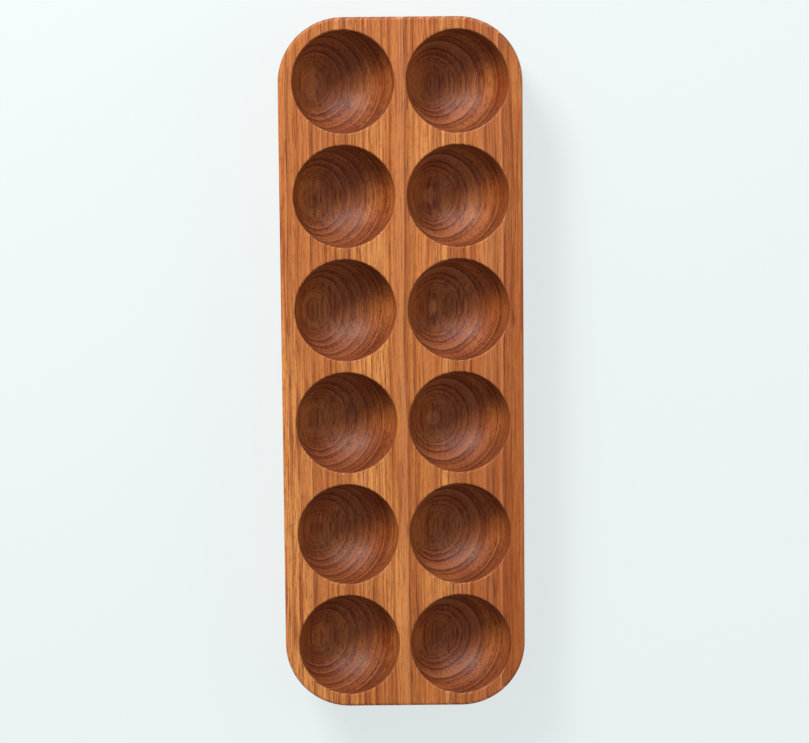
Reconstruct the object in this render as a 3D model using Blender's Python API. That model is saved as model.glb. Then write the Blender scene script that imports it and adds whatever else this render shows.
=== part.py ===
"""Mancala board: one block of solid wood with two rows of six round pits, on four felt feet.

The board lies flat, as it does in play. Its length runs along Y, its two rows of pits lie side
by side along X, and the pits open upwards, along +Z. The origin is on the table, under the
middle of the board.
"""
import math

import bmesh
import bpy

# Driving dimensions, in metres.
PITS_ACROSS = 2
PITS_ALONG = 6
PIT_PITCH = 0.049          # from one pit's centre to the next, both ways
PIT_RADIUS = 0.022         # each pit is half a ball, so this is its depth too
BOARD_LENGTH = 0.300
BOARD_WIDTH = 0.105
BOARD_THICKNESS = 0.030
CORNER_RADIUS = 0.028      # seen from above
EDGE_ROUND = 0.0015        # round-over along the top and bottom edges
FOOT_RADIUS = 0.006
FOOT_THICKNESS = 0.002
FOOT_EDGE_ROUND = 0.0003
CLEARANCE = 0.0003         # the gap that the feet's adhesive fills

# How finely the round shapes are cut into flats.
CORNER_STEPS = 12          # steps in a quarter of a circle
EDGE_STEPS = 3
PIT_SEGMENTS = 32          # around a pit's rim
PIT_RINGS = 8              # from a pit's rim down to its bottom
FOOT_SEGMENTS = 24
FOOT_EDGE_STEPS = 2
BEVEL_ANGLE = math.radians(60)     # only edges sharper than this are rounded
SMOOTH_ANGLE = math.radians(35)    # edges sharper than this stay sharp

# Places that follow from the dimensions.
UNDERSIDE = FOOT_THICKNESS + CLEARANCE
TOP = UNDERSIDE + BOARD_THICKNESS
CORNER_X = BOARD_WIDTH / 2 - CORNER_RADIUS      # centre of a corner's arc
CORNER_Y = BOARD_LENGTH / 2 - CORNER_RADIUS
FOOT_X = CORNER_X + CORNER_RADIUS / 3
FOOT_Y = CORNER_Y + CORNER_RADIUS / 3
CUTTER_RISE = 0.004        # how far a pit's cutter stands out of the top face


def clear_scene():
    for obj in list(bpy.data.objects):
        bpy.data.objects.remove(obj, do_unlink=True)


def principled(name, colour, roughness):
    """A non-metallic material of one linear colour."""
    material = bpy.data.materials.new(name)
    material.use_nodes = True
    shader = material.node_tree.nodes["Principled BSDF"]
    shader.inputs["Base Color"].default_value = (*colour, 1.0)
    shader.inputs["Roughness"].default_value = roughness
    shader.inputs["Metallic"].default_value = 0.0
    material.diffuse_color = (*colour, 1.0)
    return material


def add_object(name, mesh, parent=None, material=None):
    obj = bpy.data.objects.new(name, mesh)
    bpy.context.scene.collection.objects.link(obj)
    obj.parent = parent
    if material:
        mesh.materials.append(material)
    return obj


def mesh_from(bm, name):
    bmesh.ops.recalc_face_normals(bm, faces=bm.faces)
    mesh = bpy.data.meshes.new(name)
    bm.to_mesh(mesh)
    bm.free()
    mesh.shade_smooth()
    mesh.set_sharp_from_angle(angle=SMOOTH_ANGLE)
    return mesh


def add_edge_round(obj, width, segments):
    bevel = obj.modifiers.new("edge_round", "BEVEL")
    bevel.width = width
    bevel.segments = segments
    bevel.limit_method = "ANGLE"
    bevel.angle_limit = BEVEL_ANGLE


def outline_points():
    """The board's outline from above: a rectangle with four quarter-circle corners."""
    points = []
    for corner, (side_x, side_y) in enumerate(((1, 1), (-1, 1), (-1, -1), (1, -1))):
        for step in range(CORNER_STEPS + 1):
            angle = math.pi / 2 * (corner + step / CORNER_STEPS)
            points.append((side_x * CORNER_X + CORNER_RADIUS * math.cos(angle),
                           side_y * CORNER_Y + CORNER_RADIUS * math.sin(angle)))
    return points


def pit_centres():
    """The middle of each pit, row by row, starting at the front left."""
    for across in range(PITS_ACROSS):
        for along in range(PITS_ALONG):
            yield ((across - (PITS_ACROSS - 1) / 2) * PIT_PITCH,
                   (along - (PITS_ALONG - 1) / 2) * PIT_PITCH)


def pit_profile():
    """Radius and height of the pit cutter's rings: straight down, then a quarter circle."""
    yield PIT_RADIUS, TOP + CUTTER_RISE
    for ring in range(PIT_RINGS):
        angle = math.pi / 2 * ring / PIT_RINGS
        yield PIT_RADIUS * math.cos(angle), TOP - PIT_RADIUS * math.sin(angle)


def add_pit_cutter(bm, centre_x, centre_y):
    """One round-bottomed plug, turned about the pit's own vertical axis."""
    rings = []
    for radius, height in pit_profile():
        ring = []
        for segment in range(PIT_SEGMENTS):
            angle = 2 * math.pi * segment / PIT_SEGMENTS
            ring.append(bm.verts.new((centre_x + radius * math.cos(angle),
                                      centre_y + radius * math.sin(angle), height)))
        rings.append(ring)
    bottom = bm.verts.new((centre_x, centre_y, TOP - PIT_RADIUS))
    bm.faces.new(rings[0])
    for segment in range(PIT_SEGMENTS):
        following = (segment + 1) % PIT_SEGMENTS
        for upper, lower in zip(rings, rings[1:]):
            bm.faces.new((upper[segment], lower[segment], lower[following], upper[following]))
        bm.faces.new((rings[-1][segment], bottom, rings[-1][following]))


def make_pit_cutters(parent):
    bm = bmesh.new()
    for centre_x, centre_y in pit_centres():
        add_pit_cutter(bm, centre_x, centre_y)
    cutters = add_object("pit_cutters", mesh_from(bm, "pit_cutters"), parent)
    cutters.hide_render = True
    cutters.display_type = "WIRE"
    return cutters


def make_board(parent, material):
    """The block: its outline drawn and raised, its edges rounded, its pits cut out."""
    bm = bmesh.new()
    base = bm.faces.new([bm.verts.new((x, y, UNDERSIDE)) for x, y in outline_points()])
    raised = bmesh.ops.extrude_face_region(bm, geom=[base])
    top_verts = [item for item in raised["geom"] if isinstance(item, bmesh.types.BMVert)]
    bmesh.ops.translate(bm, vec=(0, 0, BOARD_THICKNESS), verts=top_verts)
    board = add_object("board", mesh_from(bm, "board"), parent, material)
    add_edge_round(board, EDGE_ROUND, EDGE_STEPS)
    pits = board.modifiers.new("pits", "BOOLEAN")
    pits.operation = "DIFFERENCE"
    pits.solver = "EXACT"
    pits.object = make_pit_cutters(parent)
    return board


def make_feet(parent, material):
    """Four round felt feet stuck under the corners, all sharing one mesh."""
    bm = bmesh.new()
    bmesh.ops.create_cone(bm, cap_ends=True, segments=FOOT_SEGMENTS, radius1=FOOT_RADIUS,
                          radius2=FOOT_RADIUS, depth=FOOT_THICKNESS)
    mesh = mesh_from(bm, "foot")
    mesh.materials.append(material)
    for end, side_y in (("front", -1), ("back", 1)):
        for side, side_x in (("left", -1), ("right", 1)):
            foot = add_object(f"foot_{end}_{side}", mesh, parent)
            foot.location = (side_x * FOOT_X, side_y * FOOT_Y, FOOT_THICKNESS / 2)
            add_edge_round(foot, FOOT_EDGE_ROUND, FOOT_EDGE_STEPS)


def main():
    clear_scene()
    assembly = add_object("mancala_board", None)
    oiled_wood = principled("oiled_wood", (0.50, 0.21, 0.075), 0.45)
    brown_felt = principled("brown_felt", (0.09, 0.05, 0.03), 0.95)
    make_board(assembly, oiled_wood)
    make_feet(assembly, brown_felt)


main()
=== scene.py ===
# %% [markdown]
# # A mancala board in oiled teak
#
# The board is one block of wood with two rows of six round pits, standing on four felt feet.
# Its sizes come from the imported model, the frame, so the lesson is about two other things: how
# Geometry Nodes make a shape that follows a rule, and how one solid block of wood is painted
# with nodes, so that the grain on the face and the rings in the pits belong to the same tree.

# %% Load the frame
import math

import bmesh
import bpy
from mathutils import Matrix, Vector


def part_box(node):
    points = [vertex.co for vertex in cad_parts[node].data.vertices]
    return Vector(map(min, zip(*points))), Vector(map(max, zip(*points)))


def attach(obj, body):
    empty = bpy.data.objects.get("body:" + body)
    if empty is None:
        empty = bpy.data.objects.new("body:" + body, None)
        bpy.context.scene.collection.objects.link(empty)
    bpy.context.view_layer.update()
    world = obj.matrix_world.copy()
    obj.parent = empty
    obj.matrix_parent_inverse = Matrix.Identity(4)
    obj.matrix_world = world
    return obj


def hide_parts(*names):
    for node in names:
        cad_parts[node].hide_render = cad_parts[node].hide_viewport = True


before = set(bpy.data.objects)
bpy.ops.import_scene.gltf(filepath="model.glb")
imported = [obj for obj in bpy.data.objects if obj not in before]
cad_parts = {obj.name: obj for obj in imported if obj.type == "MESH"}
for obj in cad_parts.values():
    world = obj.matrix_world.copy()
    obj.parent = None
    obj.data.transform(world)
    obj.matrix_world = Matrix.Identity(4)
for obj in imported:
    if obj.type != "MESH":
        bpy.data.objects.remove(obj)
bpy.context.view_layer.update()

MM = 0.001
print("nodes in the frame:", sorted(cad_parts))

# %% [markdown]
# ## Sizes
#
# A box round a node gives its outer sizes. The pits, the corners and the rounded edges are not
# in a box, so they are stated here in millimetres, as a maker's drawing would state them.

# %% Sizes of the board and its feet
BOARD_LOW, BOARD_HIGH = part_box("board")
BOARD_SIZE = BOARD_HIGH - BOARD_LOW
TOP = BOARD_HIGH.z
CORNER_RADIUS = 28 * MM
EDGE_ROUND = 1.5 * MM
PITS_ACROSS = 2
PITS_ALONG = 6
PIT_PITCH = 49 * MM
PIT_RADIUS = 22 * MM
RIM_EASE = 0.6 * MM
FOOT_NODES = sorted(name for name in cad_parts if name.startswith("foot_"))
print("board, mm:", [round(side / MM, 1) for side in BOARD_SIZE], "feet:", FOOT_NODES)

# %% [markdown]
# ## One helper for every node
#
# Geometry trees and material trees are built the same way: add a node, set its options, then
# fill its inputs with numbers or link them to other nodes. One function does all of that. A
# list fills an input that takes several links, and a node stands for its first output.

# %% The node helper
def add_node(tree, kind, inputs=None, **settings):
    node = tree.nodes.new(kind)
    for name, value in settings.items():
        setattr(node, name, value)
    for socket, given in (inputs or {}).items():
        for value in given if isinstance(given, list) else [given]:
            if isinstance(value, bpy.types.Node):
                value = value.outputs[0]
            if isinstance(value, bpy.types.NodeSocket):
                tree.links.new(value, node.inputs[socket])
            else:
                node.inputs[socket].default_value = value
    return node


def new_geometry_tree(name, inputs):
    """A geometry tree with named inputs, given as {name: socket type}, and one output."""
    tree = bpy.data.node_groups.new(name, "GeometryNodeTree")
    for label, kind in inputs.items():
        tree.interface.new_socket(label, in_out="INPUT", socket_type=kind)
    tree.interface.new_socket("Geometry", in_out="OUTPUT", socket_type="NodeSocketGeometry")
    return tree, tree.nodes.new("NodeGroupInput").outputs


print("building with Blender", bpy.app.version_string)

# %% [markdown]
# ## The outline
#
# Seen from above the board is a rectangle with quarter-circle corners. It could be drawn point
# by point, but a Quadrilateral curve and a Fillet say the same thing in two nodes and stay
# editable. The curve drawn here is the edge of the flat face: it lies inside the board's real
# outline by the rounded edge and by a narrow flat margin. The margin keeps the big flat face
# from bending the light at the start of the round-over.

# %% Begin the board's tree and draw its outline
FLAT_MARGIN = 0.4 * MM
CORNER_STEPS = 24
board_tree, board_in = new_geometry_tree("Pitted Board", {
    "Width": "NodeSocketFloat", "Length": "NodeSocketFloat", "Thickness": "NodeSocketFloat",
    "Top Height": "NodeSocketFloat", "Corner Radius": "NodeSocketFloat",
    "Edge Round": "NodeSocketFloat", "Flat Margin": "NodeSocketFloat",
    "Pits Across": "NodeSocketInt", "Pits Along": "NodeSocketInt",
    "Pit Pitch": "NodeSocketFloat", "Pit Radius": "NodeSocketFloat",
    "Rim Ease": "NodeSocketFloat", "Material": "NodeSocketMaterial"})

edge_inset = add_node(board_tree, "ShaderNodeMath",
                      {0: board_in["Edge Round"], 1: board_in["Flat Margin"]}, operation="ADD")
flat_width = add_node(board_tree, "ShaderNodeMath",
                      {0: edge_inset, 1: -2.0, 2: board_in["Width"]}, operation="MULTIPLY_ADD")
flat_length = add_node(board_tree, "ShaderNodeMath",
                       {0: edge_inset, 1: -2.0, 2: board_in["Length"]}, operation="MULTIPLY_ADD")
flat_corner = add_node(board_tree, "ShaderNodeMath",
                       {0: board_in["Corner Radius"], 1: edge_inset}, operation="SUBTRACT")
rectangle = add_node(board_tree, "GeometryNodeCurvePrimitiveQuadrilateral",
                     {"Width": flat_width, "Height": flat_length})
outline = add_node(board_tree, "GeometryNodeFilletCurve",
                   {"Curve": rectangle, "Count": CORNER_STEPS, "Radius": flat_corner},
                   mode="POLY")
print("outline drawn with", len(board_tree.nodes), "nodes")

# %% [markdown]
# ## The side wall
#
# The wall is what a router leaves when it follows the outline with a rounding bit above and
# below. Curve to Mesh does the same: it sweeps a section along the outline. The section is
# drawn with X pointing out of the board and Y pointing down, as a U lying on its side: out
# along the face, down the side and back in, with both corners rounded.

# %% Sweep the wall
EDGE_STEPS = 8
out_top = add_node(board_tree, "ShaderNodeCombineXYZ", {"X": edge_inset})
out_bottom = add_node(board_tree, "ShaderNodeCombineXYZ",
                      {"X": edge_inset, "Y": board_in["Thickness"]})
in_bottom = add_node(board_tree, "ShaderNodeCombineXYZ", {"Y": board_in["Thickness"]})
wall_corners = add_node(board_tree, "GeometryNodeCurvePrimitiveQuadrilateral",
                        {"Point 1": (0.0, 0.0, 0.0), "Point 2": out_top,
                         "Point 3": out_bottom, "Point 4": in_bottom}, mode="POINTS")
wall_open = add_node(board_tree, "GeometryNodeSetSplineCyclic",
                     {"Geometry": wall_corners, "Cyclic": False})
wall_section = add_node(board_tree, "GeometryNodeFilletCurve",
                        {"Curve": wall_open, "Count": EDGE_STEPS,
                         "Radius": board_in["Edge Round"]}, mode="POLY")
wall = add_node(board_tree, "GeometryNodeCurveToMesh",
                {"Curve": outline, "Profile Curve": wall_section})
straight_run = 2 * (BOARD_SIZE.x + BOARD_SIZE.y - 4 * CORNER_RADIUS)
wall_run = straight_run + 2 * math.pi * CORNER_RADIUS
print("the wall runs", round(wall_run / MM), "mm round the board")

# %% [markdown]
# ## One pit
#
# A pit is half a ball, cut by a round-nosed bit. Turning a section round a circle gives it as
# a lathe would. The section is an arc from the rim to the bottom. Its first point is drawn one
# step early and then laid out flat on the face, so that a fillet of the sharp corner between
# the two gives the eased rim that sanding leaves.
#
# A Boolean could cut the pits out of a block instead. Building them keeps every ring of
# vertices level and even, so highlights run round the pit without a ripple.

# %% Turn one pit
PIT_STEPS = 30
PIT_AROUND = 96
RIM_STEPS = 5
arc_step = math.pi / 2 / PIT_STEPS
rim_reach = add_node(board_tree, "ShaderNodeMath",
                     {0: board_in["Rim Ease"], 1: board_in["Flat Margin"]}, operation="ADD")
rim_radius = add_node(board_tree, "ShaderNodeMath",
                      {0: board_in["Pit Radius"], 1: rim_reach}, operation="ADD")
pit_arc = add_node(board_tree, "GeometryNodeCurveArc",
                   {"Resolution": PIT_STEPS + 2, "Radius": board_in["Pit Radius"],
                    "Start Angle": -arc_step, "Sweep Angle": math.pi / 2 + arc_step})
index = add_node(board_tree, "GeometryNodeInputIndex")
is_first = add_node(board_tree, "ShaderNodeMath", {0: index, 1: 0.5}, operation="LESS_THAN")
on_face = add_node(board_tree, "ShaderNodeCombineXYZ", {"X": rim_radius})
laid_out = add_node(board_tree, "GeometryNodeSetPosition",
                    {"Geometry": pit_arc, "Selection": is_first, "Position": on_face})
is_rim = add_node(board_tree, "ShaderNodeMath", {0: index, 1: 1.0, 2: 0.5}, operation="COMPARE")
rim_fillet = add_node(board_tree, "ShaderNodeMath",
                      {0: is_rim, 1: board_in["Rim Ease"]}, operation="MULTIPLY")
eased = add_node(board_tree, "GeometryNodeFilletCurve",
                 {"Curve": laid_out, "Count": RIM_STEPS, "Radius": rim_fillet}, mode="POLY")
to_axis = add_node(board_tree, "ShaderNodeMath", {0: rim_radius, 1: -1.0}, operation="MULTIPLY")
shift = add_node(board_tree, "ShaderNodeCombineXYZ", {"X": to_axis})
pit_section = add_node(board_tree, "GeometryNodeTransform",
                       {"Geometry": eased, "Translation": shift})
rim = add_node(board_tree, "GeometryNodeCurvePrimitiveCircle",
               {"Resolution": PIT_AROUND, "Radius": rim_radius})
pit_skin = add_node(board_tree, "GeometryNodeCurveToMesh",
                    {"Curve": rim, "Profile Curve": pit_section})
print("pit:", PIT_STEPS, "steps down and", PIT_AROUND, "round")

# %% [markdown]
# ## A note for the painter
#
# The pits are painted darker than the face, as painted shade in the hollows. The wood shader
# can't tell a pit from the face by itself, so the pit carries an attribute named `hollow`, which
# is 0 at the rim and 1 at the bottom. A mask on a point's height would darken the outer sides of
# the board as well.

# %% Note the depth on the pit
here = add_node(board_tree, "ShaderNodeSeparateXYZ",
                {0: add_node(board_tree, "GeometryNodeInputPosition")})
sunk = add_node(board_tree, "ShaderNodeMath", {0: here.outputs["Z"], 1: -1.0},
                operation="MULTIPLY")
depth = add_node(board_tree, "ShaderNodeMath", {0: sunk, 1: board_in["Pit Radius"]},
                 operation="DIVIDE")
pit = add_node(board_tree, "GeometryNodeStoreNamedAttribute",
               {"Geometry": pit_skin, "Name": "hollow", "Value": depth}, data_type="FLOAT")
print("the deepest point of a pit is", round(PIT_RADIUS / MM), "mm down")

# %% [markdown]
# ## Two rows of six
#
# A Mesh Grid with as many vertices as there are pits is the marking-out. The pit is put on each
# vertex, and so is the rim circle. The rims and the outline then go into Fill Curve together,
# which fills what lies between them: a face with twelve round holes.

# %% Mark out the pits and fill the face
steps_across = add_node(board_tree, "ShaderNodeMath",
                        {0: board_in["Pits Across"], 1: 1.0}, operation="SUBTRACT")
steps_along = add_node(board_tree, "ShaderNodeMath",
                       {0: board_in["Pits Along"], 1: 1.0}, operation="SUBTRACT")
span_across = add_node(board_tree, "ShaderNodeMath",
                       {0: steps_across, 1: board_in["Pit Pitch"]}, operation="MULTIPLY")
span_along = add_node(board_tree, "ShaderNodeMath",
                      {0: steps_along, 1: board_in["Pit Pitch"]}, operation="MULTIPLY")
marking_out = add_node(board_tree, "GeometryNodeMeshGrid",
                       {"Size X": span_across, "Size Y": span_along,
                        "Vertices X": board_in["Pits Across"],
                        "Vertices Y": board_in["Pits Along"]})
pits = add_node(board_tree, "GeometryNodeRealizeInstances", {0: add_node(
    board_tree, "GeometryNodeInstanceOnPoints", {"Points": marking_out, "Instance": pit})})
rims = add_node(board_tree, "GeometryNodeRealizeInstances", {0: add_node(
    board_tree, "GeometryNodeInstanceOnPoints", {"Points": marking_out, "Instance": rim})})
face_curves = add_node(board_tree, "GeometryNodeJoinGeometry", {0: [outline, rims]})
face = add_node(board_tree, "GeometryNodeFillCurve", {"Curve": face_curves})
underside = add_node(board_tree, "GeometryNodeFillCurve", {"Curve": outline})
down = add_node(board_tree, "ShaderNodeMath",
                {0: board_in["Thickness"], 1: -1.0}, operation="MULTIPLY")
underside_place = add_node(board_tree, "ShaderNodeCombineXYZ", {"Z": down})
underside = add_node(board_tree, "GeometryNodeTransform",
                     {"Geometry": underside, "Translation": underside_place})
print("pits marked out:", PITS_ACROSS * PITS_ALONG)

# %% [markdown]
# ## Join, weld and finish
#
# The wall, the pits, the face and the underside meet along rings of vertices at the same
# places, so Merge by Distance welds them into one closed skin. The pits and the underside come
# out facing inwards and are flipped first. The weld distance has to be far smaller than any
# real detail: a hundredth of a millimetre.

# %% Close the board's skin
WELD = 0.01 * MM
facing_in = add_node(board_tree, "GeometryNodeJoinGeometry", {0: [pits, underside]})
facing_out = add_node(board_tree, "GeometryNodeFlipFaces", {"Mesh": facing_in})
skin = add_node(board_tree, "GeometryNodeJoinGeometry", {0: [facing_out, face, wall]})
welded = add_node(board_tree, "GeometryNodeMergeByDistance", {"Geometry": skin, "Distance": WELD})
lifted = add_node(board_tree, "ShaderNodeCombineXYZ", {"Z": board_in["Top Height"]})
placed = add_node(board_tree, "GeometryNodeTransform",
                  {"Geometry": welded, "Translation": lifted})
smooth = add_node(board_tree, "GeometryNodeSetShadeSmooth", {"Geometry": placed})
real = add_node(board_tree, "GeometryNodeRealizeInstances", {0: smooth})
board_out = add_node(board_tree, "GeometryNodeSetMaterial",
                     {"Geometry": real, "Material": board_in["Material"]})
add_node(board_tree, "NodeGroupOutput", {0: board_out})
print("Pitted Board tree:", len(board_tree.nodes), "nodes")

# %% [markdown]
# ## Teak, as one solid block
#
# The wood is teak, planed, bored and rubbed with oil. To the eye that is a warm orange-brown
# with a satin gloss: each year's growth ends in a darker band, and long open pores run with the
# grain. An image wrapped round the board would break at every pit. A solid pattern does not: it
# is worked out at each point of space, so cutting deeper shows deeper rings, as in a real block.
#
# The pattern starts from the tree. The heart of the trunk, the pith, runs along the board, above
# it and to its right. Yearly rings are tubes round it. Where a pit's wall lies along a tube, the
# cut shows the bull's-eye that turned wood is known for.

# %% Colours and the pith
def linear(hex_colour):
    """An sRGB hex colour, such as C88048, as the linear colour that a shader takes."""
    channels = [int(hex_colour[i:i + 2], 16) / 255 for i in (0, 2, 4)]
    return (*(c / 12.92 if c <= 0.04045 else ((c + 0.055) / 1.055) ** 2.4 for c in channels), 1.0)


PITH_X = 120 * MM
PITH_ABOVE_FACE = 160 * MM
teak = bpy.data.materials.new("oiled_teak")
teak.use_nodes = True
wood = teak.node_tree
wood_shader = wood.nodes["Principled BSDF"]
place = add_node(wood, "ShaderNodeTexCoord")
from_pith = add_node(wood, "ShaderNodeMapping",
                     {"Vector": place.outputs["Object"],
                      "Location": (-PITH_X / MM, 0.0, -(TOP + PITH_ABOVE_FACE) / MM),
                      "Scale": (1 / MM, 1 / MM, 1 / MM)})
pith_distance = math.hypot(PITH_X, PITH_ABOVE_FACE)
print("from the pith to the middle of the face:", round(pith_distance / MM), "mm")

# %% [markdown]
# ## A trunk is never a perfect tube
#
# Two noises, much slower along the grain than across it, push every point a little: a broad one
# bends the whole grain, and a small one gives it a ripple. Each pattern could have a waviness of
# its own, but real rings, streaks and pores wander together, so they all read the pushed point.

# %% Let the grain wander
WANDER_MM = 1.6
WANDER_SIZE_MM = (38, 120, 38)
RIPPLE_MM = 0.28
RIPPLE_SIZE_MM = (2.8, 26, 2.8)
pushed = from_pith
for push_mm, size_mm in ((WANDER_MM, WANDER_SIZE_MM), (RIPPLE_MM, RIPPLE_SIZE_MM)):
    spread = add_node(wood, "ShaderNodeMapping",
                      {"Vector": from_pith, "Scale": tuple(1 / side for side in size_mm)})
    drift = add_node(wood, "ShaderNodeTexNoise", {"Vector": spread, "Scale": 1.0, "Detail": 1.0})
    centred = add_node(wood, "ShaderNodeVectorMath",
                       {0: drift.outputs["Color"], 1: (0.5, 0.5, 0.5)}, operation="SUBTRACT")
    pushed = add_node(wood, "ShaderNodeVectorMath",
                      {0: centred, 1: (2 * push_mm, 0.0, 2 * push_mm), 2: pushed},
                      operation="MULTIPLY_ADD")
print("the grain wanders by up to", WANDER_MM, "mm and ripples by up to", RIPPLE_MM, "mm")

# %% [markdown]
# ## Years
#
# A point's distance from the pith, divided by the width of a ring, is its year, and what is
# left after the whole years is its season. All points of a tube share both, which is what
# makes rings. A wave texture has rings too, but all alike. Here a slow one-dimensional noise is
# added first, because good years leave wide rings and bad years narrow ones. Another noise
# makes some years darker than others, and a third gives the fine lines within a year. All three
# depend on nothing but the distance from the pith.

# %% Measure the distance and the season
RING_MM = 2.6
GOOD_YEARS_MM = 5.0
DARK_YEARS_MM = 2.9
LINE_MM = 0.75
UNEVEN_YEARS = 2.2
flat = add_node(wood, "ShaderNodeVectorMath", {0: pushed, 1: (1.0, 0.0, 1.0)},
                operation="MULTIPLY")
radius = add_node(wood, "ShaderNodeVectorMath", {0: flat}, operation="LENGTH").outputs["Value"]
good_years, dark_years, lines = [
    add_node(wood, "ShaderNodeTexNoise",
             {"W": radius, "Scale": 1 / size_mm, "Detail": detail}, noise_dimensions="1D")
    for size_mm, detail in ((GOOD_YEARS_MM, 0.0), (DARK_YEARS_MM, 0.0), (LINE_MM, 1.0))]
even_year = add_node(wood, "ShaderNodeMath", {0: radius, 1: 1 / RING_MM}, operation="MULTIPLY")
year = add_node(wood, "ShaderNodeMath", {0: good_years, 1: UNEVEN_YEARS, 2: even_year},
                operation="MULTIPLY_ADD")
season = add_node(wood, "ShaderNodeMath", {0: year}, operation="FRACT")
near_edge = math.hypot(PITH_X - BOARD_HIGH.x, PITH_ABOVE_FACE)
far_edge = math.hypot(PITH_X - BOARD_LOW.x, PITH_ABOVE_FACE)
print("rings that cross the face: about", round((far_edge - near_edge) / MM / RING_MM))

# %% [markdown]
# ## Rings and lines
#
# A colour ramp reads the season as two masks at once. Its red says how dark the wood is: a year
# starts light, turns dark towards its end and stops sharply. Its green marks the thin pale line
# of soft tissue with which teak starts a year. The lines within a year have a ramp of their own.

# %% Turn the season into rings
def two_masks(value, stops):
    """A ramp read as two masks. Each stop is a place on the ramp, its red and its green."""
    ramp = add_node(wood, "ShaderNodeValToRGB", {"Fac": value})
    elements = ramp.color_ramp.elements
    elements.remove(elements[1])
    elements[0].position = stops[0][0]
    for place_on_ramp, _, _ in stops[1:]:
        elements.new(place_on_ramp)
    for element, (_, red, green) in zip(elements, stops):
        element.color = (red, green, 0.0, 1.0)
    masks = add_node(wood, "ShaderNodeSeparateColor", {0: ramp})
    return masks.outputs["Red"], masks.outputs["Green"]


season_dark, ring_pale = two_masks(season, (
    (0.0, 0.1, 1.0), (0.06, 0.0, 0.7), (0.13, 0.0, 0.0), (0.38, 0.2, 0.0), (0.70, 0.9, 0.0),
    (0.94, 1.0, 0.0), (1.0, 0.3, 0.9)))
year_strength = add_node(wood, "ShaderNodeMapRange",
                         {"Value": dark_years, "From Min": 0.35, "From Max": 0.60,
                          "To Min": 0.50})
ring_dark = add_node(wood, "ShaderNodeMath", {0: season_dark, 1: year_strength},
                     operation="MULTIPLY")
line_dark, line_pale = two_masks(lines, (
    (0.0, 0.0, 0.0), (0.45, 0.0, 0.0), (0.50, 0.0, 1.0), (0.55, 0.25, 0.0), (0.72, 1.0, 0.0)))
print("rings", RING_MM, "mm wide, lines", LINE_MM, "mm apart")

# %% [markdown]
# ## Streaks, fibres and pores
#
# These are noises stretched along the grain: broad soft changes of tone, streaks, fibres, and
# pores, which are dark grooves about a fifth of a millimetre wide. Stretched noise is enough to
# tell a long cut from an end cut. On the face it makes lines, and where the fibres are cut
# across, at the two ends of a pit, the same noise makes dots. Pores crowd together in the dark
# part of each ring. A single fibre is far too thin to see, so bundles of them are drawn.

# %% Stretch noise along the grain
TONE_MM = (11.0, 130.0, 11.0)
STREAK_MM = (1.3, 45.0, 1.3)
FIBRE_MM = (0.45, 16.0, 0.45)
PORE_MM = (0.42, 13.0, 0.42)
PORES_IN_RINGS = 0.12


def stretch(size_mm, detail):
    spread = add_node(wood, "ShaderNodeMapping",
                      {"Vector": pushed, "Scale": tuple(1 / side for side in size_mm)})
    return add_node(wood, "ShaderNodeTexNoise",
                    {"Vector": spread, "Scale": 1.0, "Detail": detail})


tone = stretch(TONE_MM, 1.0)
streak = stretch(STREAK_MM, 2.0)
fibre = stretch(FIBRE_MM, 2.0)
pore_noise = stretch(PORE_MM, 0.0)
pore_rich = add_node(wood, "ShaderNodeMath", {0: ring_dark, 1: PORES_IN_RINGS, 2: pore_noise},
                     operation="MULTIPLY_ADD")
pore = add_node(wood, "ShaderNodeMapRange",
                {"Value": pore_rich, "From Min": 0.71, "From Max": 0.82},
                interpolation_type="SMOOTHSTEP")
print("streaks", STREAK_MM[1], "mm long, fibres", FIBRE_MM[1], "mm, pores", PORE_MM[1], "mm")

# %% [markdown]
# ## Rays
#
# Wood also has thin sheets of cells that run straight out from the pith, like spokes. Their
# noise is laid out in the trunk's own directions: angle round the pith, height along it, and
# distance from it. On end grain they hatch across the rings, and elsewhere they show as fleck.
# Real rays are under a tenth of a millimetre thick, so these are drawn coarser, to show.

# %% Lay the rays out round the pith
RAY_MM = (0.42, 2.6, 9.0)
MEAN_RADIUS_MM = 205.0
parts = add_node(wood, "ShaderNodeSeparateXYZ", {0: pushed})
angle = add_node(wood, "ShaderNodeMath", {0: parts.outputs["X"], 1: parts.outputs["Z"]},
                 operation="ARCTAN2")
round_pith = add_node(wood, "ShaderNodeMath", {0: angle, 1: MEAN_RADIUS_MM},
                      operation="MULTIPLY")
spokes = add_node(wood, "ShaderNodeCombineXYZ",
                  {"X": round_pith, "Y": parts.outputs["Y"], "Z": radius})
ray_space = add_node(wood, "ShaderNodeMapping",
                     {"Vector": spokes, "Scale": tuple(1 / side for side in RAY_MM)})
rays = add_node(wood, "ShaderNodeTexNoise", {"Vector": ray_space, "Scale": 1.0, "Detail": 1.0})
print("rays, mm thick, high and deep:", RAY_MM)
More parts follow.
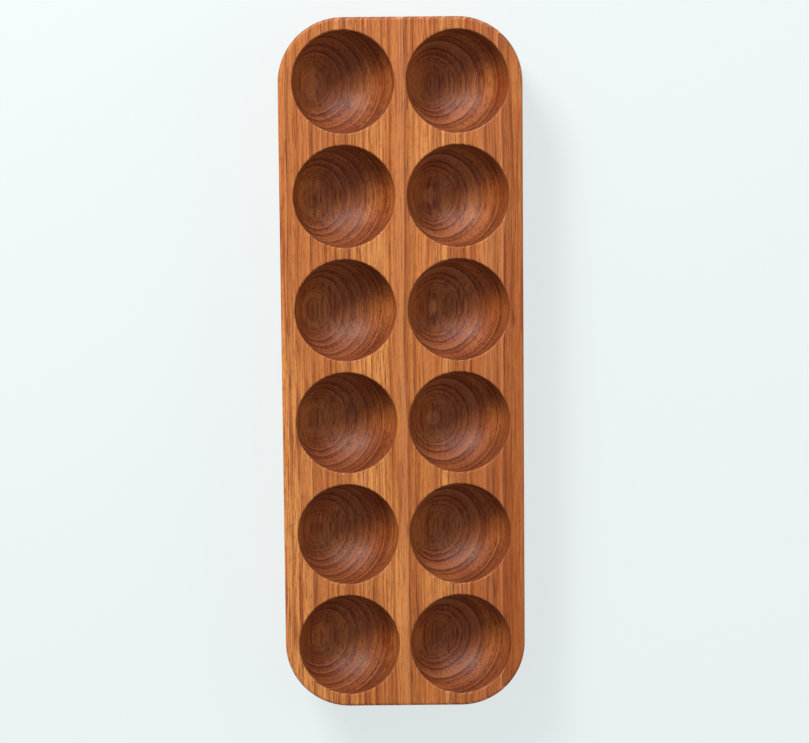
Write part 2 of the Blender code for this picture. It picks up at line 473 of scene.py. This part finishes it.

# %% [markdown]
# ## End grain drinks oil
#
# Where fibres are cut across, oil soaks in and the wood turns darker and redder. The surface's
# own direction says how much of a cut is end grain: the normal's Y part, because the grain runs
# along Y. This is what darkens the upper and lower walls of each pit and both ends of the board.
# The `hollow` attribute darkens the pits all over as painted shade in the hollows, and the
# end-grain darkening is stronger in the pits than on the outside, which is painted shade too.

# %% Find the end grain and the hollows
# share of the end-grain darkening outside the pits; the rest, inside the pits, is painted shade
OUTSIDE_SOAK = 0.4
facing = add_node(wood, "ShaderNodeSeparateXYZ", {0: place.outputs["Normal"]})
along_grain = add_node(wood, "ShaderNodeMath", {0: facing.outputs["Y"]}, operation="ABSOLUTE")
end_grain = add_node(wood, "ShaderNodeMapRange",
                     {"Value": along_grain, "From Min": 0.0, "From Max": 0.75},
                     interpolation_type="SMOOTHSTEP")
depth_noted = add_node(wood, "ShaderNodeAttribute", attribute_name="hollow")
hollow = add_node(wood, "ShaderNodeMapRange",
                  {"Value": depth_noted.outputs["Fac"], "From Min": 0.0, "From Max": 0.12},
                  interpolation_type="SMOOTHSTEP")
# darker end grain, painted stronger inside the pits as shade
soaked = add_node(wood, "ShaderNodeMath",
                  {0: end_grain, 1: add_node(wood, "ShaderNodeMapRange",
                                             {"Value": hollow, "To Min": OUTSIDE_SOAK})},
                  operation="MULTIPLY")
print("oiled_teak patterns:", len(wood.nodes), "nodes so far")

# %% [markdown]
# ## Choose the colours
#
# Freshly oiled teak is one hue in many depths, from pale straw lines to nearly black pores, so
# each pattern has a colour of its own. The last two are tints: painted shade for the pits, and
# darker end grain, which is painted darker still inside the pits as shade.

# %% Teak's colours
LIGHT_WOOD = linear("E0924B")
TONE_WOOD = linear("C07030")
STREAK_WOOD = linear("943E0C")
FIBRE_WOOD = linear("903E0E")
LINE_WOOD = linear("782C08")
RING_WOOD = linear("602008")
HEART_WOOD = linear("984614")
RAY_WOOD = linear("86380E")
PALE_WOOD = linear("E6A878")
PORE_WOOD = linear("4A1404")
# painted shade: a tint that darkens every pit all over
HOLLOW_TINT = linear("D8C8C2")
END_TINT = linear("D9CBC8")
print("ground colour, linear:", [round(channel, 3) for channel in LIGHT_WOOD[:3]])

# %% [markdown]
# ## Make a mask for each colour
#
# The smooth patterns become masks by stretching the part of the noise between two values over
# the whole range from none to most. Wood near the heart is darker, so there is a mask for that
# too. Rings are stronger on end grain, so their masks are scaled by it, and they fade in
# patches, because no ring is dark all the way round.

# %% Turn patterns into masks
HEART_FAR_MM = 196.0
HEART_NEAR_MM = 176.0
patchy, tone_mask, streak_mask, fibre_mask, ray_mask, heart_mask = [
    add_node(wood, "ShaderNodeMapRange",
             {"Value": pattern, "From Min": low, "From Max": high, "To Max": most},
             interpolation_type="SMOOTHSTEP")
    for pattern, low, high, most in (
        (streak, 0.30, 0.62, 1.0), (tone, 0.35, 0.65, 1.0), (streak, 0.50, 0.70, 0.75),
        (fibre, 0.46, 0.68, 0.60), (rays, 0.52, 0.72, 0.40),
        (radius, HEART_FAR_MM, HEART_NEAR_MM, 0.55))]


def shown(mask, on_face, on_end, least=1.0):
    """The mask at one strength on the face and another on end grain, weaker in patches."""
    strength = add_node(wood, "ShaderNodeMapRange",
                        {"Value": end_grain, "To Min": on_face, "To Max": on_end})
    patch = add_node(wood, "ShaderNodeMapRange", {"Value": patchy, "To Min": least})
    strength = add_node(wood, "ShaderNodeMath", {0: strength, 1: patch}, operation="MULTIPLY")
    return add_node(wood, "ShaderNodeMath", {0: mask, 1: strength}, operation="MULTIPLY")


print("the wood is darkest within", HEART_NEAR_MM, "mm of the pith")

# %% [markdown]
# ## Lay the colours over each other
#
# The colours go on from the broadest pattern to the finest, each over all that lies below, as a
# painter of mock wood lays on glazes. The two tints multiply what lies below instead: the painted
# shade of the pits and the darker end grain deepen a colour and do not cover it. A Mix node has a
# set of sockets for each kind of data, so its colour sockets are called by their numbers.

# %% Build up teak's colour
COLOUR_A, COLOUR_B, COLOUR_OUT = 6, 7, 2
colour = LIGHT_WOOD
for mask, over, blend in (
        (tone_mask, TONE_WOOD, "MIX"),
        (heart_mask, HEART_WOOD, "MIX"),
        (streak_mask, STREAK_WOOD, "MIX"),
        (fibre_mask, FIBRE_WOOD, "MIX"),
        (ray_mask, RAY_WOOD, "MIX"),
        (shown(line_dark, 0.40, 0.50, 0.2), LINE_WOOD, "MIX"),
        (shown(ring_dark, 0.42, 0.95, 0.75), RING_WOOD, "MIX"),
        (shown(line_pale, 0.10, 0.35), PALE_WOOD, "MIX"),
        (shown(ring_pale, 0.15, 0.62), PALE_WOOD, "MIX"),
        (shown(pore, 0.55, 0.16), PORE_WOOD, "MIX"),
        # painted shade: the pits darkened all over by the hollow mask
        (hollow, HOLLOW_TINT, "MULTIPLY"),
        # darker end grain, painted stronger inside the pits as shade
        (soaked, END_TINT, "MULTIPLY")):
    colour = add_node(wood, "ShaderNodeMix", {0: mask, COLOUR_A: colour, COLOUR_B: over},
                      data_type="RGBA", blend_type=blend).outputs[COLOUR_OUT]
wood.links.new(colour, wood_shader.inputs["Base Color"])
print("oiled_teak colour:", len(wood.nodes), "nodes so far")

# %% [markdown]
# ## A rubbed oil finish
#
# Oil leaves wood with a satin gloss, a little uneven: dense dark rings polish up more than the
# rest, and oil fills fibres better than pores. Roughness follows the fibre pattern, falls in
# the rings and rises in the pores. The round cutter burnishes the pits, so they shine more than
# the planed face: the specular level is one number times a mask, and a model that is exported
# without the mask can still carry the number. The pores are real grooves too, so a bump sinks
# them by a few hundredths of a millimetre.

# %% Gloss and relief
WOOD_SPECULAR = 0.32
FACE_BURNISH = 0.875
PIT_BURNISH = 1.125
WOOD_IOR = 1.47
RING_POLISH = -0.12
PORE_DULL = 0.2
PORE_DEPTH = 0.06 * MM
fibre_gloss = add_node(wood, "ShaderNodeMapRange",
                       {"Value": fibre, "From Min": 0.3, "From Max": 0.7,
                        "To Min": 0.50, "To Max": 0.62})
ring_gloss = add_node(wood, "ShaderNodeMath", {0: ring_dark, 1: RING_POLISH, 2: fibre_gloss},
                      operation="MULTIPLY_ADD")
gloss = add_node(wood, "ShaderNodeMath", {0: pore, 1: PORE_DULL, 2: ring_gloss},
                 operation="MULTIPLY_ADD")
wood.links.new(gloss.outputs[0], wood_shader.inputs["Roughness"])
raised = add_node(wood, "ShaderNodeMath", {0: pore, 1: -1.0, 2: fibre}, operation="MULTIPLY_ADD")
relief = add_node(wood, "ShaderNodeBump",
                  {"Height": raised, "Strength": 0.5, "Distance": PORE_DEPTH})
wood.links.new(relief.outputs[0], wood_shader.inputs["Normal"])
wood_shader.inputs["IOR"].default_value = WOOD_IOR
burnish = add_node(wood, "ShaderNodeMapRange",
                   {"Value": hollow, "To Min": FACE_BURNISH, "To Max": PIT_BURNISH})
polish = add_node(wood, "ShaderNodeMath", {0: burnish, 1: WOOD_SPECULAR}, operation="MULTIPLY")
wood.links.new(polish.outputs[0], wood_shader.inputs["Specular IOR Level"])
print("oiled_teak:", len(wood.nodes), "nodes")

# %% [markdown] ## From a tree to a plain mesh  A tree needs an object to work on. An empty
# mesh carries it, its inputs are set by each socket's identifier, and the evaluated result is
# copied to a plain mesh. The carrier is then removed, so that the finished piece has no
# modifier left.

# %% Run a geometry tree and keep its mesh
def grow(name, tree, values):
    carrier = bpy.data.objects.new(name + "_carrier", bpy.data.meshes.new(name + "_carrier"))
    bpy.context.scene.collection.objects.link(carrier)
    modifier = carrier.modifiers.new("grow", "NODES")
    modifier.node_group = tree
    for item in tree.interface.items_tree:
        if item.in_out == "INPUT":
            modifier[item.identifier] = values[item.name]
    graph = bpy.context.evaluated_depsgraph_get()
    mesh = bpy.data.meshes.new_from_object(carrier.evaluated_get(graph))
    bpy.data.objects.remove(carrier)
    mesh.name = name
    piece = bpy.data.objects.new(name, mesh)
    bpy.context.scene.collection.objects.link(piece)
    return piece


def inspect(piece):
    bm = bmesh.new()
    bm.from_mesh(piece.data)
    open_edges = sum(not edge.is_manifold for edge in bm.edges)
    volume = bm.calc_volume(signed=True) / MM ** 3
    print(f"{piece.name}: {len(bm.faces)} faces, {open_edges} open edges, {volume:.0f} mm3")
    bm.free()


print("trees to run:", [tree.name for tree in bpy.data.node_groups])

# %% [markdown]
# ## The block of wood
#
# The tree has its numbers and the material now, so the board can be made. It rides on the one
# body there is, stands in for the CAD node of the same block and takes the oiled teak material.

# %% Make the board
board = grow("teak_board", board_tree, {
    "Width": BOARD_SIZE.x, "Length": BOARD_SIZE.y, "Thickness": BOARD_SIZE.z,
    "Top Height": TOP, "Corner Radius": CORNER_RADIUS, "Edge Round": EDGE_ROUND,
    "Flat Margin": FLAT_MARGIN, "Pits Across": PITS_ACROSS, "Pits Along": PITS_ALONG,
    "Pit Pitch": PIT_PITCH, "Pit Radius": PIT_RADIUS, "Rim Ease": RIM_EASE, "Material": teak})
inspect(board)
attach(board, "root")
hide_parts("board")

# %% [markdown]
# ## A felt foot
#
# The feet are discs punched out of pressed wool felt, with a film of adhesive on the back. A
# cylinder would do from afar, but the disc and its film are one section, turned round the
# foot's axis like the pit: felt below, film above, the film a little smaller.

# %% Begin the foot's tree
foot_tree, foot_in = new_geometry_tree("Felt Foot", {
    "Base Centre": "NodeSocketVector", "Radius": "NodeSocketFloat",
    "Felt Thickness": "NodeSocketFloat", "Film Thickness": "NodeSocketFloat",
    "Film Inset": "NodeSocketFloat", "Edge Round": "NodeSocketFloat",
    "Unevenness": "NodeSocketFloat", "Seed": "NodeSocketInt", "Material": "NodeSocketMaterial"})
to_foot_axis = add_node(foot_tree, "ShaderNodeMath", {0: foot_in["Radius"], 1: -1.0},
                        operation="MULTIPLY")
film_edge = add_node(foot_tree, "ShaderNodeMath", {0: foot_in["Film Inset"], 1: -1.0},
                     operation="MULTIPLY")
film_depth = foot_in["Film Thickness"]
foot_height = add_node(foot_tree, "ShaderNodeMath",
                       {0: film_depth, 1: foot_in["Felt Thickness"]}, operation="ADD")
print("Felt Foot inputs:", ", ".join(name for name in foot_in.keys() if name))

# %% [markdown]
# ## The foot's section
#
# The section has six corners. X runs out from the foot's rim and Y runs down, so X is 0 or less.
# A line of six points is bent into shape by setting one point at a time, which keeps every
# corner tied to the tree's inputs. Only the felt's two outer corners are rounded, because the
# punch leaves them a little soft. Even steps along the section then give the noise that comes
# next enough points to push.

# %% Draw the foot's section
FELT_EDGE_STEPS = 4
FOOT_SECTION_POINTS = 90
FELT_CORNERS = (3, 4)
corners = ((to_foot_axis, 0.0), (film_edge, 0.0), (film_edge, film_depth),
           (0.0, film_depth), (0.0, foot_height), (to_foot_axis, foot_height))
section_line = add_node(foot_tree, "GeometryNodeMeshLine", {"Count": len(corners)})
point_number = add_node(foot_tree, "GeometryNodeInputIndex")
for number, (across, down) in enumerate(corners):
    chosen = add_node(foot_tree, "ShaderNodeMath", {0: point_number, 1: float(number), 2: 0.5},
                      operation="COMPARE")
    corner = add_node(foot_tree, "ShaderNodeCombineXYZ", {"X": across, "Y": down})
    section_line = add_node(foot_tree, "GeometryNodeSetPosition",
                            {"Geometry": section_line, "Selection": chosen, "Position": corner})
section_curve = add_node(foot_tree, "GeometryNodeMeshToCurve", {"Mesh": section_line})
felt_edge = add_node(foot_tree, "ShaderNodeMath",
                     {0: point_number, 1: sum(FELT_CORNERS) / 2, 2: 1.0}, operation="COMPARE")
felt_round = add_node(foot_tree, "ShaderNodeMath", {0: felt_edge, 1: foot_in["Edge Round"]},
                      operation="MULTIPLY")
rounded = add_node(foot_tree, "GeometryNodeFilletCurve",
                   {"Curve": section_curve, "Count": FELT_EDGE_STEPS, "Radius": felt_round},
                   mode="POLY")
even = add_node(foot_tree, "GeometryNodeResampleCurve",
                {"Curve": rounded, "Count": FOOT_SECTION_POINTS})
print("foot section:", len(corners), "corners,", FOOT_SECTION_POINTS, "points")

# %% [markdown]
# ## Turn the foot
#
# The section is swept round a circle and welded on the axis. The punch leaves a fairly crisp
# edge, and the wool then springs back unevenly, so a noise pushes the sides of the felt in and
# out by up to a tenth of a millimetre. The push has no Z part, so the foot still stands flat on
# the table. Its seed is an input, so no two feet are alike.

# %% Turn the foot and let its edge spring back
FOOT_AROUND = 120
WOOL_TUFT = 0.7 * MM
foot_circle = add_node(foot_tree, "GeometryNodeCurvePrimitiveCircle",
                       {"Resolution": FOOT_AROUND, "Radius": foot_in["Radius"]})
foot_skin = add_node(foot_tree, "GeometryNodeCurveToMesh",
                     {"Curve": foot_circle, "Profile Curve": even})
foot_solid = add_node(foot_tree, "GeometryNodeMergeByDistance",
                      {"Geometry": foot_skin, "Distance": WELD})
foot_lift = add_node(foot_tree, "ShaderNodeCombineXYZ", {"Z": foot_height})
foot_raised = add_node(foot_tree, "GeometryNodeTransform",
                       {"Geometry": foot_solid, "Translation": foot_lift})
wool = add_node(foot_tree, "ShaderNodeTexNoise",
                {"Vector": add_node(foot_tree, "GeometryNodeInputPosition"),
                 "W": foot_in["Seed"], "Scale": 1 / WOOL_TUFT, "Detail": 3.0},
                noise_dimensions="4D")
wool_centred = add_node(foot_tree, "ShaderNodeVectorMath",
                        {0: wool.outputs["Color"], 1: (0.5, 0.5, 0.5)}, operation="SUBTRACT")
sideways = add_node(foot_tree, "ShaderNodeCombineXYZ",
                    {"X": foot_in["Unevenness"], "Y": foot_in["Unevenness"]})
spring = add_node(foot_tree, "ShaderNodeVectorMath", {0: wool_centred, 1: sideways},
                  operation="MULTIPLY")
sprung = add_node(foot_tree, "GeometryNodeSetPosition",
                  {"Geometry": foot_raised, "Offset": spring})
foot_placed = add_node(foot_tree, "GeometryNodeTransform",
                       {"Geometry": sprung, "Translation": foot_in["Base Centre"]})
foot_smooth = add_node(foot_tree, "GeometryNodeSetShadeSmooth", {"Geometry": foot_placed})
foot_real = add_node(foot_tree, "GeometryNodeRealizeInstances", {0: foot_smooth})
foot_out = add_node(foot_tree, "GeometryNodeSetMaterial",
                    {"Geometry": foot_real, "Material": foot_in["Material"]})
add_node(foot_tree, "NodeGroupOutput", {0: foot_out})
print("Felt Foot tree:", len(foot_tree.nodes), "nodes")

# %% [markdown]
# ## Pressed wool felt
#
# Felt is wool matted with heat and pressure. It has no weave and no shine. Two things make it
# look right: fibres a few hundredths of a millimetre thick, lying every way, and the soft light
# edge that loose fibres give, which the shader's sheen stands for. Thin lines where two noises
# cross their middle value make fibres that curl and overlap.

# %% Colour and relief of the felt
felt = bpy.data.materials.new("pressed_wool_felt")
felt.use_nodes = True
wool_tree = felt.node_tree
felt_shader = wool_tree.nodes["Principled BSDF"]
felt_place = add_node(wool_tree, "ShaderNodeTexCoord")
CURL_SIZES_MM = (0.35, 0.22)
STRAND_EDGE = 0.045
CLUMP_MM = 1.6
FELT_DARK = linear("402D22")
FELT_LIGHT = linear("6E5142")
FELT_RELIEF = 0.08 * MM
tangle = 0.0
for size_mm in CURL_SIZES_MM:
    curl = add_node(wool_tree, "ShaderNodeTexNoise",
                    {"Vector": felt_place.outputs["Object"], "Scale": 1 / (size_mm * MM),
                     "Detail": 2.0, "Distortion": 0.8})
    off_middle = add_node(wool_tree, "ShaderNodeMath", {0: curl, 1: 0.5}, operation="SUBTRACT")
    distance = add_node(wool_tree, "ShaderNodeMath", {0: off_middle}, operation="ABSOLUTE")
    strand = add_node(wool_tree, "ShaderNodeMapRange",
                      {"Value": distance, "From Min": 0.0, "From Max": STRAND_EDGE,
                       "To Min": 1.0, "To Max": 0.0}, interpolation_type="SMOOTHSTEP")
    tangle = add_node(wool_tree, "ShaderNodeMath", {0: strand, 1: tangle}, operation="MAXIMUM")
matted = add_node(wool_tree, "ShaderNodeTexNoise",
                  {"Vector": felt_place.outputs["Object"], "Scale": 1 / (CLUMP_MM * MM),
                   "Detail": 3.0})
lay = add_node(wool_tree, "ShaderNodeMath", {0: tangle, 1: 0.6, 2: matted},
               operation="MULTIPLY_ADD")
felt_shade = add_node(wool_tree, "ShaderNodeMapRange",
                      {"Value": lay, "From Min": 0.35, "From Max": 1.15})
felt_colour = add_node(wool_tree, "ShaderNodeMix",
                       {0: felt_shade, COLOUR_A: FELT_DARK, COLOUR_B: FELT_LIGHT},
                       data_type="RGBA")
wool_tree.links.new(felt_colour.outputs[COLOUR_OUT], felt_shader.inputs["Base Color"])
felt_bump = add_node(wool_tree, "ShaderNodeBump",
                     {"Height": lay, "Strength": 0.8, "Distance": FELT_RELIEF})
wool_tree.links.new(felt_bump.outputs[0], felt_shader.inputs["Normal"])
felt_shader.inputs["Roughness"].default_value = 0.95
felt_shader.inputs["Specular IOR Level"].default_value = 0.15
felt_shader.inputs["Sheen Weight"].default_value = 0.35
felt_shader.inputs["Sheen Roughness"].default_value = 0.5
print("pressed_wool_felt:", len(wool_tree.nodes), "nodes")

# %% [markdown]
# ## Four feet
#
# The box round each foot's CAD node gives its place, its radius and its thickness, and the film
# fills the gap between that box and the board. One tree makes all four, each from its own seed.

# %% Make the four feet
FILM_INSET = 0.3 * MM
FELT_EDGE_ROUND = 0.35 * MM
FELT_UNEVENNESS = 0.3 * MM
for seed, node in enumerate(FOOT_NODES):
    foot_low, foot_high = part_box(node)
    foot_centre = (foot_low + foot_high) / 2
    foot = grow("felt_" + node, foot_tree, {
        "Base Centre": (foot_centre.x, foot_centre.y, foot_low.z),
        "Radius": (foot_high.x - foot_low.x) / 2, "Felt Thickness": foot_high.z - foot_low.z,
        "Film Thickness": BOARD_LOW.z - foot_high.z, "Film Inset": FILM_INSET,
        "Edge Round": FELT_EDGE_ROUND, "Unevenness": FELT_UNEVENNESS, "Seed": seed,
        "Material": felt})
    inspect(foot)
    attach(foot, "root")
    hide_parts(node)

# %% [markdown]
# ## The floor
#
# The board lies on a sheet of opal plastic with a weak light under it, as on the table of a
# product studio. To the eye that is an even, pale grey with hardly any gloss, on which shadows
# stay faint. A plain white floor under a stronger sky would be as pale, but it would wash out
# the shade in the pits too.

# %% Lay the floor
FLOOR_SIZE = 12.0
OPAL_GLOW = 0.73
floor_mesh = bpy.data.meshes.new("floor")
half = FLOOR_SIZE / 2
floor_mesh.from_pydata([(-half, -half, 0), (half, -half, 0), (half, half, 0), (-half, half, 0)],
                       [], [(0, 1, 2, 3)])
floor = bpy.data.objects.new("floor", floor_mesh)
bpy.context.scene.collection.objects.link(floor)
opal = bpy.data.materials.new("opal_plastic_sheet")
opal.use_nodes = True
opal_shader = opal.node_tree.nodes["Principled BSDF"]
opal_shader.inputs["Base Color"].default_value = linear("7C7E7E")
opal_shader.inputs["Roughness"].default_value = 0.8
opal_shader.inputs["Specular IOR Level"].default_value = 0.2
opal_shader.inputs["Emission Color"].default_value = linear("EEF6F7")
opal_shader.inputs["Emission Strength"].default_value = OPAL_GLOW
floor_mesh.materials.append(opal)
print("floor:", FLOOR_SIZE, "m across")

# %% [markdown]
# ## The light
#
# Daylight comes from a window beyond the far end of the board and to its left. A sun lamp would
# give hard shadows, and a square area light gives the soft-edged shade of a window in the pits.
# A far pane on the other side is seen only in the sheen of the oil, so it is hidden from the
# matt part of every surface. A white card on the right and a pale sky fill the rest.

# %% Light the scene
CENTRE = Vector((0.0, 0.0, TOP))
LIGHT_DISTANCE = 1.35
SKY_STRENGTH = 0.53


def add_soft_light(name, azimuth, height, size, watts, colour):
    """A square area light aimed at the board. Azimuth counts in degrees from +Y towards -X."""
    azimuth, height = math.radians(azimuth), math.radians(height)
    data = bpy.data.lights.new(name, "AREA")
    data.size = size
    data.energy = watts
    data.color = linear(colour)[:3]
    light = bpy.data.objects.new(name, data)
    bpy.context.scene.collection.objects.link(light)
    towards = Vector((-math.sin(azimuth) * math.cos(height),
                      math.cos(azimuth) * math.cos(height), math.sin(height)))
    light.location = CENTRE + towards * LIGHT_DISTANCE
    light.rotation_euler = (-towards).to_track_quat("-Z", "Y").to_euler()
    return light


add_soft_light("window", azimuth=29, height=36, size=0.47, watts=19.8, colour="FDFBF8")
far_pane = add_soft_light("far_pane", azimuth=-15, height=33, size=0.4, watts=10.5,
                          colour="E4F0FF")
far_pane.visible_diffuse = False
add_soft_light("white_card", azimuth=-80, height=28, size=0.76, watts=2.5, colour="FFF6EA")
sky = bpy.data.worlds.new("pale_sky")
sky.use_nodes = True
sky.node_tree.nodes["Background"].inputs["Color"].default_value = linear("ECF2F5")
sky.node_tree.nodes["Background"].inputs["Strength"].default_value = SKY_STRENGTH
bpy.context.scene.world = sky
bpy.context.scene.view_settings.view_transform = "Standard"
print("lights:", [lamp.name for lamp in bpy.data.lights])

# %% [markdown]
# ## The camera
#
# The camera looks down on the board from a little under a metre with a long lens, so the pits at
# the ends of the rows look hardly different from those in the middle. It stands a few degrees
# towards the far end and is rolled by half a degree. Its place is worked out from the point
# that it aims at, the way it is turned and its distance, rather than set as bare numbers.

# %% Place the camera
AIM = Vector((0.75 * MM, -2.2 * MM, TOP))
CAMERA_DISTANCE = 0.867
CAMERA_LEAN = math.radians(5.19)
CAMERA_ROLL = math.radians(-0.54)
LENS_MM = 89.0
SENSOR_MM = 36.0
camera_data = bpy.data.cameras.new("camera")
camera_data.lens = LENS_MM
camera_data.sensor_width = SENSOR_MM
camera = bpy.data.objects.new("camera", camera_data)
bpy.context.scene.collection.objects.link(camera)
turn = Matrix.Rotation(-CAMERA_LEAN, 4, "X") @ Matrix.Rotation(CAMERA_ROLL, 4, "Z")
camera.matrix_world = (Matrix.Translation(AIM) @ turn
                       @ Matrix.Translation(Vector((0, 0, CAMERA_DISTANCE))))
bpy.context.scene.camera = camera
print("camera at, mm:", [round(side / MM) for side in camera.matrix_world.translation])

# %% [markdown]
